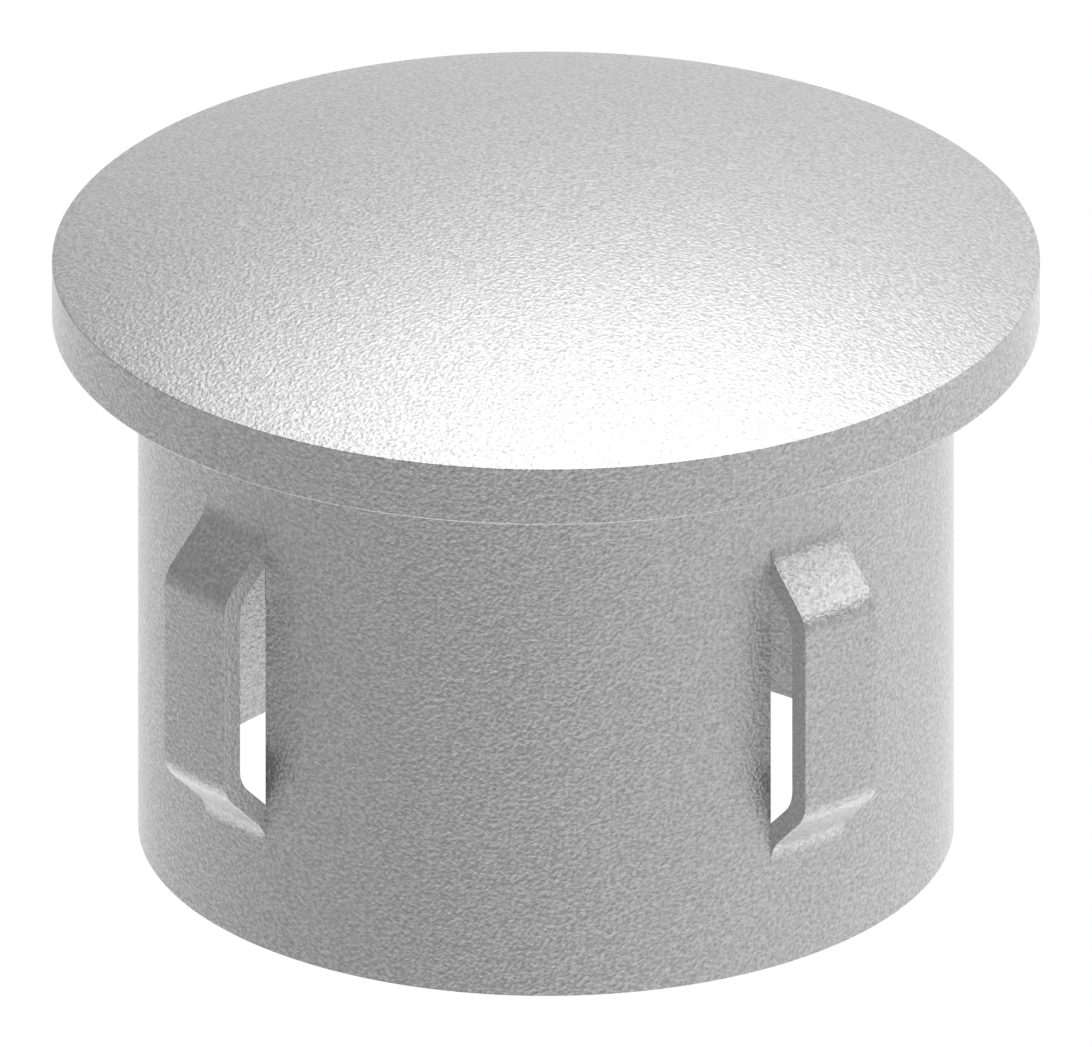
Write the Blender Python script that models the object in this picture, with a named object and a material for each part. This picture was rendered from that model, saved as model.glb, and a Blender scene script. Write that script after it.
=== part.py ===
# Domed steel end cap for a round tube, in one piece, with bridges lanced out of its skirt.
# Metres, +Z up. The origin is the centre of the skirt's open end, on which the cap stands.
import math

import bmesh
import bpy
from mathutils import Matrix, Vector

MM = 0.001

# Head: the solid domed disc that covers the end of the tube
RIM_DIAMETER = 42.4 * MM
RIM_HEIGHT = 2.65 * MM
RIM_EDGE_RADIUS = 0.1 * MM
DOME_RISE = 3.35 * MM

# Skirt: the thin sleeve that goes into the tube
SKIRT_DIAMETER = 35.0 * MM
SKIRT_LENGTH = 24.0 * MM
SKIRT_WALL = 1.0 * MM
CEILING_FILLET = 1.0 * MM

# Bridges: strips slit free of the skirt along both sides and pressed out, so that they grip the bore.
# Length is from foot to foot, and pressing a strip out stretches it and so thins it.
BRIDGE_COUNT = 4
BRIDGE_WIDTH = 4.0 * MM
BRIDGE_LENGTH = 13.8 * MM
BRIDGE_RISE = 2.3 * MM
BRIDGE_TO_RIM = 4.65 * MM
STRETCH_THINNING = 0.1 * MM
RAMP_ANGLE = math.radians(45)
BEND_RADIUS = 1.5 * MM

# How much each side of a window stays narrower than its bridge, which joins the two where they meet
LAP = 0.01 * MM

# Facets in a full turn, from the axis to the edge of the dome, and in each rounding
TURN_STEPS = 96
DOME_STEPS = 8
ARC_STEPS = 3
SHARP_ANGLE = math.radians(30)
MERGE_DISTANCE = 0.001 * MM

# Bright cast steel, finely blasted
STEEL_COLOUR = (0.56, 0.56, 0.56, 1.0)
STEEL_ROUGHNESS = 0.38

rim_radius = RIM_DIAMETER / 2
skirt_radius = SKIRT_DIAMETER / 2
bore_radius = skirt_radius - SKIRT_WALL
grip_radius = skirt_radius + BRIDGE_RISE


# An outline through corners of (radius from the axis, height) and, where a corner is round, its radius.
def rounded(corners):
    outline = [Vector(corners[0][:2])]
    for before, corner, after in zip(corners, corners[1:], corners[2:]):
        here = Vector(corner[:2])
        if len(corner) == 2:
            outline.append(here)
            continue
        back = (Vector(before[:2]) - here).normalized()
        ahead = (Vector(after[:2]) - here).normalized()
        half_angle = back.angle(ahead) / 2
        centre = here + (back + ahead).normalized() * corner[2] / math.sin(half_angle)
        start = here + back * corner[2] / math.tan(half_angle) - centre
        end = here + ahead * corner[2] / math.tan(half_angle) - centre
        # angle_signed counts clockwise and a rotation the other way
        turn = -start.angle_signed(end)
        for step in range(ARC_STEPS + 1):
            outline.append(centre + Matrix.Rotation(turn * step / ARC_STEPS, 2) @ start)
    outline.append(Vector(corners[-1][:2]))
    return outline


# Points of a sphere's half section, from its top on the axis out to a radius.
def sphere_arc(sphere_radius, centre_height, reach):
    half_angle = math.asin(reach / sphere_radius)
    angles = [half_angle * step / DOME_STEPS for step in range(DOME_STEPS + 1)]
    return [
        (sphere_radius * math.sin(angle), centre_height + sphere_radius * math.cos(angle))
        for angle in angles
    ]


# The cap's half section: over the dome, down the rim and the skirt, and up the bore to the ceiling,
# which lies level with the seat under the rim.
def cap_outline():
    sphere_radius = (rim_radius**2 + DOME_RISE**2) / (2 * DOME_RISE)
    centre_height = SKIRT_LENGTH + RIM_HEIGHT + DOME_RISE - sphere_radius
    dome = sphere_arc(sphere_radius, centre_height, rim_radius)
    return rounded([
        *dome[:-1],
        (*dome[-1], RIM_EDGE_RADIUS),
        (rim_radius, SKIRT_LENGTH, RIM_EDGE_RADIUS),
        (skirt_radius, SKIRT_LENGTH),
        (skirt_radius, 0),
        (bore_radius, 0),
        (bore_radius, SKIRT_LENGTH, CEILING_FILLET),
        (0, SKIRT_LENGTH),
    ])


# One bridge's section, and the heights between which its window is open.
# Each end runs on as a pointed root inside the wall.
def bridge_section():
    thickness = SKIRT_WALL - STRETCH_THINNING
    tangent = math.tan(RAMP_ANGLE / 2)
    # The two bends of a ramp share its length
    ramp_length = BRIDGE_RISE / math.sin(RAMP_ANGLE)
    inside_bend = min(BEND_RADIUS, (ramp_length / tangent - thickness) / 2)
    outside_bend = inside_bend + thickness

    # Heights above and below the bridge's middle. The ramp's inner face lies behind its outer one.
    middle = SKIRT_LENGTH - BRIDGE_TO_RIM - BRIDGE_LENGTH / 2
    behind = thickness / math.sin(RAMP_ANGLE)
    outer_foot = BRIDGE_LENGTH / 2
    outer_flat = outer_foot - BRIDGE_RISE / math.tan(RAMP_ANGLE)
    inner_foot = outer_foot - behind + SKIRT_WALL / math.tan(RAMP_ANGLE)
    inner_flat = outer_flat - behind + thickness / math.tan(RAMP_ANGLE)
    slit_end = outer_foot + inside_bend * tangent
    inner_end = inner_foot + outside_bend * tangent
    root_end = max(slit_end, inner_end) + SKIRT_WALL / 2

    outer = rounded([
        (skirt_radius, middle + root_end),
        (skirt_radius, middle + outer_foot, inside_bend),
        (grip_radius, middle + outer_flat, outside_bend),
        (grip_radius, middle - outer_flat, outside_bend),
        (skirt_radius, middle - outer_foot, inside_bend),
        (skirt_radius, middle - root_end),
    ])
    inner = rounded([
        (bore_radius, middle - root_end),
        (bore_radius, middle - inner_foot, outside_bend),
        (grip_radius - thickness, middle - inner_flat, inside_bend),
        (grip_radius - thickness, middle + inner_flat, inside_bend),
        (bore_radius, middle + inner_foot, outside_bend),
        (bore_radius, middle + root_end),
    ])
    upper_root = Vector((skirt_radius - SKIRT_WALL / 2, middle + root_end))
    lower_root = Vector((skirt_radius - SKIRT_WALL / 2, middle - root_end))
    outline = [upper_root, *outer[1:-1], lower_root, *inner[1:-1]]
    return outline, middle - slit_end, middle + slit_end


def add_object(name, mesh):
    thing = bpy.data.objects.new(name, mesh)
    bpy.context.scene.collection.objects.link(thing)
    return thing


# Turns an open half section, or the closed section of a ring, round the Z axis.
def turned(name, outline, closed=False):
    count = len(outline)
    edges = [(index, (index + 1) % count) for index in range(count if closed else count - 1)]
    mesh = bpy.data.meshes.new(name)
    mesh.from_pydata([(point.x, 0, point.y) for point in outline], edges, [])
    piece = add_object(name, mesh)
    screw = piece.modifiers.new("Turn", "SCREW")
    screw.axis = "Z"
    screw.steps = TURN_STEPS
    screw.render_steps = TURN_STEPS
    screw.use_merge_vertices = True
    screw.merge_threshold = MERGE_DISTANCE
    return piece


# One upright block across the skirt's wall for each bridge.
def blocks(name, width, lowest, highest):
    inner = bore_radius - SKIRT_WALL
    outer = grip_radius + SKIRT_WALL
    place = Matrix.Translation(((inner + outer) / 2, 0, (lowest + highest) / 2))
    size = Matrix.Diagonal((outer - inner, width, highest - lowest, 1))
    shape = bmesh.new()
    for index in range(BRIDGE_COUNT):
        turn = Matrix.Rotation(math.tau * index / BRIDGE_COUNT, 4, "Z")
        bmesh.ops.create_cube(shape, size=1, matrix=turn @ place @ size)
    mesh = bpy.data.meshes.new(name)
    shape.to_mesh(mesh)
    shape.free()
    return add_object(name, mesh)


def combine(piece, operation, helper):
    boolean = piece.modifiers.new(helper.name, "BOOLEAN")
    boolean.operation = operation
    boolean.solver = "EXACT"
    boolean.object = helper
    helper.hide_render = True
    helper.display_type = "WIRE"


def cast_steel():
    material = bpy.data.materials.new("cast_steel")
    material.use_nodes = True
    shader = material.node_tree.nodes["Principled BSDF"]
    shader.inputs["Base Color"].default_value = STEEL_COLOUR
    shader.inputs["Metallic"].default_value = 1.0
    shader.inputs["Roughness"].default_value = STEEL_ROUGHNESS
    return material


# Makes the modifiers' result the piece's own mesh, smooth but for its real edges, and clears the helpers.
def finish(piece, helpers):
    graph = bpy.context.evaluated_depsgraph_get()
    mesh = bpy.data.meshes.new_from_object(piece.evaluated_get(graph))
    piece.modifiers.clear()
    piece.data = mesh
    mesh.name = piece.name
    mesh.shade_smooth()
    mesh.set_sharp_from_angle(angle=SHARP_ANGLE)
    mesh.materials.append(cast_steel())
    for helper in helpers:
        bpy.data.objects.remove(helper, do_unlink=True)


def build_end_cap():
    outline, lowest, highest = bridge_section()
    strips = turned("strips", outline, closed=True)
    slabs = blocks("slabs", BRIDGE_WIDTH, lowest - SKIRT_WALL, highest + SKIRT_WALL)
    combine(strips, "INTERSECT", slabs)
    windows = blocks("windows", BRIDGE_WIDTH - 2 * LAP, lowest, highest)

    cap = turned("end_cap", cap_outline())
    combine(cap, "DIFFERENCE", windows)
    combine(cap, "UNION", strips)
    finish(cap, (strips, slabs, windows))


for old in list(bpy.data.objects):
    bpy.data.objects.remove(old, do_unlink=True)
build_end_cap()
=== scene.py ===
import math

import bmesh
import bpy
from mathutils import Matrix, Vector


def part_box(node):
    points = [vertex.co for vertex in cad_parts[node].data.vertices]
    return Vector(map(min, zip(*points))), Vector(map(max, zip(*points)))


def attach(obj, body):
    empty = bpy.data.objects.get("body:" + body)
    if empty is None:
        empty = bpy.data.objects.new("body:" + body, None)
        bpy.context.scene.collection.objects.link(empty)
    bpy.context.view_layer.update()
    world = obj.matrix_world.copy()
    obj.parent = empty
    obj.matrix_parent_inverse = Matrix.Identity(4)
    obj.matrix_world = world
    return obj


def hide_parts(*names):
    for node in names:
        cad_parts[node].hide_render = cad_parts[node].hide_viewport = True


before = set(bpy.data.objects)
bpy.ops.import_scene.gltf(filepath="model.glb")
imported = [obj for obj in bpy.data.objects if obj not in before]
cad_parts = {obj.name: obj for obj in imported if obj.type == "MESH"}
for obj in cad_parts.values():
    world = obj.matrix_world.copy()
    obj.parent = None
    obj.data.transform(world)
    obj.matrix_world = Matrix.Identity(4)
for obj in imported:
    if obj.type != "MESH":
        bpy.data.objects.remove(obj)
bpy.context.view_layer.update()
print("frame loaded")

mm = 0.001


# One node with its settings and links, both by the socket's name or number. A link is (node, output).
def addNode(tree, kind, settings=None, links=None):
    node = tree.nodes.new(kind)
    for key, value in (settings or {}).items():
        if isinstance(key, int) or key in node.inputs:
            node.inputs[key].default_value = value
        else:
            setattr(node, key, value)
    for key, (source, output) in (links or {}).items():
        tree.links.new(source.outputs[output], node.inputs[key])
    return node


# sRGB hex to the linear colour that the shader wants
def hexColour(code):
    parts = [int(code[i:i + 2], 16) / 255 for i in (0, 2, 4)]
    linear = [p / 12.92 if p < 0.04045 else ((p + 0.055) / 1.055) ** 2.4 for p in parts]
    return (*linear, 1.0)


# Cast steel, blasted bright: a satin metal whose fine wrinkled grain breaks up what it reflects. Its base
# colour is painted darker in the pits, as painted shade, so that it looks the same all round. The head is
# rubbed smoother.
steelFinish = {
    # colour down in the pits: painted shade, darker than the steel itself
    "pitShade": "979797",
    "peaks": "FDFDFD",
    "roughness": 0.35,
    "grain": 0.18,           # mm, from wrinkle to wrinkle
    "grainDepth": 0.057,     # mm
    "finerGrains": 2.0,      # how often the grain is laid over itself, each time half as large
    "finerShare": 0.5,       # strength of each such layer, beside the one before
    "wander": 0.2,           # how far the wrinkles bend
    "headGrain": 0.67,       # share of the depth that is left on the head
    # how far up a face looks where the head's finish starts and where it is full: 0 is sideways, 1 is up
    "headStarts": 0.8,
    "headFull": 0.9,
}

# The same steel where the slits are sheared, on the sides of the strips and windows: smoother and nowhere
# rubbed, and painted a little brighter, as painted light that lifts the shade the wall beside them brings
# to these sides
shearedFinishPaintedLight = dict(steelFinish, pitShade="B2B2B2", peaks="FFFFFF", grainDepth=0.045, headGrain=1.0)


def grainedSteel(name, s):
    material = bpy.data.materials.new(name)
    material.use_nodes = True
    tree = material.node_tree
    shader = tree.nodes["Principled BSDF"]
    shader.inputs["Metallic"].default_value = 1.0
    shader.inputs["Roughness"].default_value = s["roughness"]

    place = addNode(tree, "ShaderNodeTexCoord")
    grain = addNode(tree, "ShaderNodeTexNoise", {
        "Scale": 1 / (s["grain"] * mm), "Detail": s["finerGrains"], "Roughness": s["finerShare"],
        "Distortion": s["wander"],
    }, {"Vector": (place, "Object")})
    # base colour over the grain, from the painted shade in the pits up to the peaks
    shade = addNode(tree, "ShaderNodeMix", {
        "data_type": "RGBA", 6: hexColour(s["pitShade"]), 7: hexColour(s["peaks"]),
    }, {0: (grain, 0)})
    tree.links.new(shade.outputs[2], shader.inputs["Base Color"])

    facing = addNode(tree, "ShaderNodeSeparateXYZ", links={0: (place, "Normal")})
    strength = addNode(tree, "ShaderNodeMapRange", {
        "From Min": s["headStarts"], "From Max": s["headFull"], "To Min": 1.0, "To Max": s["headGrain"],
    }, {"Value": (facing, "Z")})
    bump = addNode(tree, "ShaderNodeBump", {"Distance": s["grainDepth"] * mm},
                   {"Height": (grain, 0), "Strength": (strength, 0)})
    tree.links.new(bump.outputs["Normal"], shader.inputs["Normal"])
    return material


# The cap, in mm and degrees. Its width and height come from the frame.
capShape = {
    "rimHeight": 2.65,       # upright band under the dome
    "rimEdge": 0.05,         # rounding of that band's upper edge
    "rimFoot": 0.1,          # and of its lower one
    "domeRise": 3.35,
    "skirtRadius": 17.5,
    "skirtWall": 1.0,
    "ceilingFillet": 1.0,
    "bridges": 4,
    "bridgeWidth": 4.0,
    "bridgeLength": 13.8,    # foot to foot
    "bridgeRise": 2.3,
    "bridgeToRim": 4.65,
    "thinning": 0.1,         # wall lost where a strip is stretched out
    "rampAngle": 45,
    "bend": 1.5,             # inside radius of each bend
    "gripBend": 1.5,         # outside radius of the two bends beside the grip face
    "stripEdge": 0.04,       # rounding along a strip's long edges
    # how fine the mesh is
    "domeRows": 28,
    "arcSteps": 10,          # in each rounding of the section
    "stripColumns": 12,      # across the flat of a strip
    "edgeSteps": 3,          # in each rounding along a strip
    "gapColumns": 60,        # from one strip to the next
    "sharpAngle": 30,
}


# A line through corners of (radius, height) or (radius, height, rounding)
def roundedLine(corners, steps):
    line = [Vector(corners[0][:2])]
    for before, corner, after in zip(corners, corners[1:], corners[2:]):
        here = Vector(corner[:2])
        if len(corner) == 2:
            line.append(here)
            continue
        back = (Vector(before[:2]) - here).normalized()
        ahead = (Vector(after[:2]) - here).normalized()
        half = back.angle(ahead) / 2
        reach = corner[2] / math.tan(half)
        centre = here + (back + ahead).normalized() * corner[2] / math.sin(half)
        start, end = here + back * reach - centre, here + ahead * reach - centre
        sweep = start.angle(end)
        for i in range(steps + 1):
            t = i / steps
            # between the two ends along the circle
            spoke = (start * math.sin((1 - t) * sweep) + end * math.sin(t * sweep)) / math.sin(sweep)
            line.append(centre + spoke)
    line.append(Vector(corners[-1][:2]))
    return line


# Points of a sphere's half section from its top out to a radius
def sphereLine(sphere, centreHeight, reach, rows):
    angles = [math.asin(reach / sphere) * i / rows for i in range(rows + 1)]
    return [(sphere * math.sin(a), centreHeight + sphere * math.cos(a)) for a in angles]


# Half section of the cap without its bridges: over the head to the wall, and up the bore to the ceiling
def headAndBoreLines(c, rimRadius, height, skirtLength):
    outer, bore = c["skirtRadius"], c["skirtRadius"] - c["skirtWall"]
    sphere = (rimRadius ** 2 + c["domeRise"] ** 2) / (2 * c["domeRise"])
    dome = sphereLine(sphere, height - sphere, rimRadius, c["domeRows"])
    head = [
        *dome[:-1], (*dome[-1], c["rimEdge"]), (rimRadius, skirtLength, c["rimFoot"]), (outer, skirtLength),
    ]
    inside = [(bore, 0), (bore, skirtLength, c["ceilingFillet"]), (0, skirtLength)]
    return roundedLine(head, c["arcSteps"]), roundedLine(inside, c["arcSteps"])[1:]


# Outer and inner line of one bridge, top to bottom, from where each leaves the wall
def bridgeLines(c, skirtLength):
    thick = c["skirtWall"] - c["thinning"]
    ramp = math.radians(c["rampAngle"])
    outer, bore = c["skirtRadius"], c["skirtRadius"] - c["skirtWall"]
    grip = outer + c["bridgeRise"]
    middle = skirtLength - c["bridgeToRim"] - c["bridgeLength"] / 2
    bend, footBend, gripBend = c["bend"], c["bend"] + thick, c["gripBend"]
    behind = thick / math.sin(ramp)
    outerFoot = c["bridgeLength"] / 2
    outerFlat = outerFoot - c["bridgeRise"] / math.tan(ramp)
    innerFoot = outerFoot - behind + c["skirtWall"] / math.tan(ramp)
    innerFlat = outerFlat - behind + thick / math.tan(ramp)
    past = outerFoot + footBend
    over = [
        (outer, middle + past), (outer, middle + outerFoot, bend),
        (grip, middle + outerFlat, gripBend), (grip, middle - outerFlat, gripBend),
        (outer, middle - outerFoot, bend), (outer, middle - past),
    ]
    under = [
        (bore, middle + past), (bore, middle + innerFoot, footBend),
        (grip - thick, middle + innerFlat, bend), (grip - thick, middle - innerFlat, bend),
        (bore, middle - innerFoot, footBend), (bore, middle - past),
    ]
    # both ends only give the bends their direction
    return [roundedLine(corners, c["arcSteps"])[1:-1] for corners in (over, under)]


# A line with a point added wherever it passes a radius, and where in it those points are
def splitAt(line, radius):
    split, added = [line[0]], []
    for a, b in zip(line, line[1:]):
        if (a.x - radius) * (b.x - radius) < 0:
            added.append(len(split))
            split.append(a.lerp(b, (radius - a.x) / (b.x - a.x)))
        split.append(b)
    return split, added


# A line's own direction turned a quarter, at each of its points
def lineNormals(line):
    normals = []
    for i in range(len(line)):
        along = line[min(i + 1, len(line) - 1)] - line[max(i - 1, 0)]
        normals.append(Vector((-along.y, along.x)).normalized())
    return normals


# Where a strip's columns lie, to both sides of its middle, with a few in each rounded edge
def acrossStrip(c, flat):
    bends = [math.pi / 2 * i / c["edgeSteps"] for i in range(c["edgeSteps"] + 1)]
    half = [flat + c["stripEdge"] * math.sin(b) for b in bends]
    between = [flat * (2 * i / c["stripColumns"] - 1) for i in range(1, c["stripColumns"])]
    return [-s for s in reversed(half)] + between + half


def buildCap(c):
    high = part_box("end_cap")[1]
    rimRadius, height = high.x / mm, high.z / mm
    skirtLength = height - c["domeRise"] - c["rimHeight"]
    outer, bore = c["skirtRadius"], c["skirtRadius"] - c["skirtWall"]
    head, inside = headAndBoreLines(c, rimRadius, height, skirtLength)
    over, under = bridgeLines(c, skirtLength)

    # a strip's slit opens and closes where its under side passes the wall's outer face
    under, (opens, closes) = splitAt(under, outer)

    # columns round the cap: across each strip, then to the next one
    halfWidth, edge = c["bridgeWidth"] / 2, c["stripEdge"]
    flat = halfWidth - edge
    across = acrossStrip(c, flat)
    stripCount, gapCount = len(across), c["gapColumns"]
    perBridge = stripCount + gapCount - 1
    total = perBridge * c["bridges"]
    pitch = math.tau / c["bridges"]
    stripPairs = [i for i in range(total) if i % perBridge < stripCount - 1]
    gapPairs = [i for i in range(total) if i % perBridge >= stripCount - 1]

    def angleOf(column, radius):
        bridge, place = divmod(column, perBridge)
        if place < stripCount:
            return bridge * pitch + math.asin(across[place] / radius)
        shoulder = math.asin(halfWidth / radius)
        share = (place - stripCount + 1) / gapCount
        return bridge * pitch + shoulder + share * (pitch - 2 * shoulder)

    shape = bmesh.new()

    # a ring of points at one radius and height; the columns are spaced as at another radius
    def ring(radius, level, spacing, columns=range(total)):
        made = {}
        for column in columns:
            angle = angleOf(column, spacing)
            spot = Vector((radius * math.cos(angle), radius * math.sin(angle), level))
            made[column] = shape.verts.new(spot * mm)
        return made

    def skin(first, second, pairs=range(total)):
        for column in pairs:
            after = (column + 1) % total
            shape.faces.new((first[column], first[after], second[after], second[column]))

    def cone(tip, base):
        for column in range(total):
            shape.faces.new((tip, base[column], base[(column + 1) % total]))

    # head, down to the seat under the rim
    rings = [ring(p.x, p.y, outer) for p in head[1:]]
    cone(shape.verts.new((0, 0, head[0].y * mm)), rings[0])
    for first, second in zip(rings, rings[1:]):
        skin(first, second)

    # wall between the strips
    solid = [i for i in range(total) if i % perBridge >= stripCount - 1 or i % perBridge == 0]
    top, foot = ring(outer, over[0].y, outer), ring(outer, over[-1].y, outer)
    slitTop = ring(outer, under[opens].y, outer, solid)
    slitFoot = ring(outer, under[closes].y, outer, solid)
    boreFoot, boreTop = ring(bore, under[-1].y, bore), ring(bore, under[0].y, bore)
    lowerEdge, lowerBore = ring(outer, 0, outer), ring(bore, 0, bore)
    skin(rings[-1], top)
    for first, second in ((top, slitTop), (slitTop, slitFoot), (slitFoot, foot), (boreFoot, boreTop)):
        skin(first, second, gapPairs)
    for first, second in ((foot, lowerEdge), (lowerEdge, lowerBore), (lowerBore, boreFoot)):
        skin(first, second)

    # bore and ceiling
    rings = [boreTop] + [ring(p.x, p.y, outer) for p in inside[:-1]]
    for first, second in zip(rings, rings[1:]):
        skin(first, second)
    cone(shape.verts.new((0, 0, inside[-1].y * mm)), rings[-1])

    # one face of the strips, its rounding sinking into the strip as far as it stands clear of the wall
    def stripRows(line, sink, known):
        normals = lineNormals(line)
        rows = []
        for i, point in enumerate(line):
            row = dict(known.get(i, {}))
            depth = min(edge, max(0, (point.x - outer) / 2))
            for column in range(total):
                bridge, place = divmod(column, perBridge)
                if place >= stripCount or column in row:
                    continue
                side = across[place]
                lean = max(0, (abs(side) - flat) / edge)
                sunk = point + normals[i] * sink * depth * (1 - math.sqrt(max(0, 1 - lean * lean)))
                angle = bridge * pitch + math.asin(side / sunk.x)
                spot = Vector((sunk.x * math.cos(angle), sunk.x * math.sin(angle), sunk.y))
                row[column] = shape.verts.new(spot * mm)
            rows.append(row)
        for first, second in zip(rows, rows[1:]):
            skin(first, second, stripPairs)
        return rows

    overRows = stripRows(over, -1, {0: top, len(over) - 1: foot})
    underRows = stripRows(under, 1, {
        0: boreTop, opens: slitTop, closes: slitFoot, len(under) - 1: boreFoot,
    })

    # sides of the strips, and edges of the windows behind them
    stripLoop = overRows + underRows[opens:closes + 1][::-1]
    windowLoop = underRows[closes:] + underRows[:opens + 1]
    for bridge in range(c["bridges"]):
        for column in (bridge * perBridge, bridge * perBridge + stripCount - 1):
            for loop in (stripLoop, windowLoop):
                shape.faces.new([row[column] for row in loop]).material_index = 1

    bmesh.ops.recalc_face_normals(shape, faces=shape.faces)
    mesh = bpy.data.meshes.new("cap")
    shape.to_mesh(mesh)
    shape.free()
    mesh.shade_smooth()
    mesh.set_sharp_from_angle(angle=math.radians(c["sharpAngle"]))
    cap = bpy.data.objects.new("cap", mesh)
    bpy.context.scene.collection.objects.link(cap)
    weighted = cap.modifiers.new("flatFaces", "WEIGHTED_NORMAL")
    weighted.keep_sharp = True
    return cap


cap = buildCap(capShape)
cap.data.materials.append(grainedSteel("blastedCastSteel", steelFinish))
# the sides of the strips and windows take the copy that is painted lighter, as painted light
cap.data.materials.append(grainedSteel("shearedSteelPaintedLight", shearedFinishPaintedLight))
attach(cap, "root")
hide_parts("end_cap")
print("cap built,", len(cap.data.polygons), "faces")


# The picture's camera, with no perspective. Lengths in mm.
cameraPlace = {
    "azimuth": 50.0,
    "elevation": 25.04,
    "width": 46.855,         # across the picture
    "aim": 14.20,            # above the table, on the cap's axis
    "distance": 400.0,
    "nearClip": 10,
    "farClip": 10000,
}


# Direction from the cap, in degrees round and up
def direction(azimuth, elevation):
    a, e = math.radians(azimuth), math.radians(elevation)
    return Vector((math.sin(a) * math.cos(e), -math.cos(a) * math.cos(e), math.sin(e)))


def addCamera(p):
    data = bpy.data.cameras.new("camera")
    data.type = "ORTHO"
    data.ortho_scale = p["width"] * mm
    data.clip_start, data.clip_end = p["nearClip"] * mm, p["farClip"] * mm
    camera = bpy.data.objects.new("camera", data)
    bpy.context.scene.collection.objects.link(camera)
    back = direction(p["azimuth"], p["elevation"])
    camera.location = Vector((0, 0, p["aim"])) * mm + back * p["distance"] * mm
    camera.rotation_euler = (-back).to_track_quat("-Z", "Y").to_euler()
    bpy.context.scene.camera = camera


addCamera(cameraPlace)
print("camera set")


# A white paper sweep under and behind the cap, which only the camera sees, in mm
paperSweep = {
    "floor": 1000,           # radius of its flat part
    "bend": 300,
    "height": 1500,
    "drop": 0.02,            # how far it lies below the cap's foot
    "bendSteps": 12,
    "turnSteps": 64,
    "mergeGap": 0.01,
    "colour": "FFFFFF",
}


def addSweep(s):
    wall = s["floor"] + s["bend"]
    line = roundedLine([(0, 0), (wall, 0, s["bend"]), (wall, s["height"])], s["bendSteps"])
    edges = [(i, i + 1) for i in range(len(line) - 1)]
    mesh = bpy.data.meshes.new("sweep")
    mesh.from_pydata([(p.x * mm, 0, p.y * mm) for p in line], edges, [])
    sweep = bpy.data.objects.new("sweep", mesh)
    bpy.context.scene.collection.objects.link(sweep)
    sweep.location.z = -s["drop"] * mm
    turn = sweep.modifiers.new("turn", "SCREW")
    turn.axis = "Z"
    turn.steps = turn.render_steps = s["turnSteps"]
    turn.use_merge_vertices = True
    turn.merge_threshold = s["mergeGap"] * mm

    # white paper, lit so evenly that it shows no fold and no shadow
    material = bpy.data.materials.new("litPaper")
    material.use_nodes = True
    tree = material.node_tree
    glow = addNode(tree, "ShaderNodeEmission", {"Color": hexColour(s["colour"]), "Strength": 1.0})
    tree.links.new(glow.outputs["Emission"], tree.nodes["Material Output"].inputs["Surface"])
    mesh.materials.append(material)
    sweep.visible_glossy = sweep.visible_diffuse = sweep.visible_shadow = False


# A room of soft light, in which each light is a round glow on the walls, ceiling or floor:
# degrees round from the camera to its right, degrees up, degrees that it spreads, and how bright it is
softRoom = {
    "fill": 0.322,           # the same from everywhere
    "lights": {
        "key": {"round": 180, "up": 62, "spread": 30, "light": 1.3},
        "highRight": {"round": 90, "up": 60, "spread": 60, "light": 0.89},
        "highBack": {"round": 180, "up": 40, "spread": 30, "light": 0.05},
        "backRight": {"round": 135, "up": 30, "spread": 60, "light": 0.27},
        "back": {"round": 180, "up": 0, "spread": 45, "light": 0.38},
        "lowFront": {"round": 0, "up": -50, "spread": 45, "light": 0.185},
        "lowFrontLeft": {"round": -45, "up": -50, "spread": 45, "light": 0.115},
        "lowFrontRight": {"round": 45, "up": -30, "spread": 45, "light": 0.25},
        "lowRight": {"round": 90, "up": -30, "spread": 45, "light": 0.3},
        "lowBackRight": {"round": 135, "up": -30, "spread": 45, "light": 0.27},
        "lowBackLeft": {"round": -135, "up": -30, "spread": 45, "light": 0.145},
        "lowLeft": {"round": -90, "up": -30, "spread": 45, "light": 0.107},
        "lowBack": {"round": 180, "up": -40, "spread": 30, "light": 0.1},
        "tableBack": {"round": 180, "up": -60, "spread": 60, "light": 0.72},
        "table": {"round": 0, "up": -80, "spread": 42, "light": 0.4},
    },
}


def addRoom(s):
    world = bpy.data.worlds.new("room")
    bpy.context.scene.world = world
    world.use_nodes = True
    tree = world.node_tree
    where = addNode(tree, "ShaderNodeTexCoord")
    total = addNode(tree, "ShaderNodeValue", {"name": "fill"})
    total.outputs[0].default_value = s["fill"]
    for name, light in s["lights"].items():
        way = direction(cameraPlace["azimuth"] + light["round"], light["up"])
        near = addNode(tree, "ShaderNodeVectorMath", {"operation": "DOT_PRODUCT", 1: way},
                       {0: (where, "Generated")})
        glow = addNode(tree, "ShaderNodeMapRange", {
            "name": name, "interpolation_type": "SMOOTHERSTEP",
            "From Min": math.cos(math.radians(light["spread"])), "From Max": 1.0,
            "To Min": 0.0, "To Max": light["light"],
        }, {"Value": (near, "Value")})
        total = addNode(tree, "ShaderNodeMath", {"operation": "ADD"}, {0: (total, 0), 1: (glow, 0)})
    background = tree.nodes["Background"]
    tree.links.new(total.outputs[0], background.inputs["Color"])
    bpy.context.scene.view_settings.view_transform = "Standard"


addSweep(paperSweep)
addRoom(softRoom)
print("sweep and lights set")
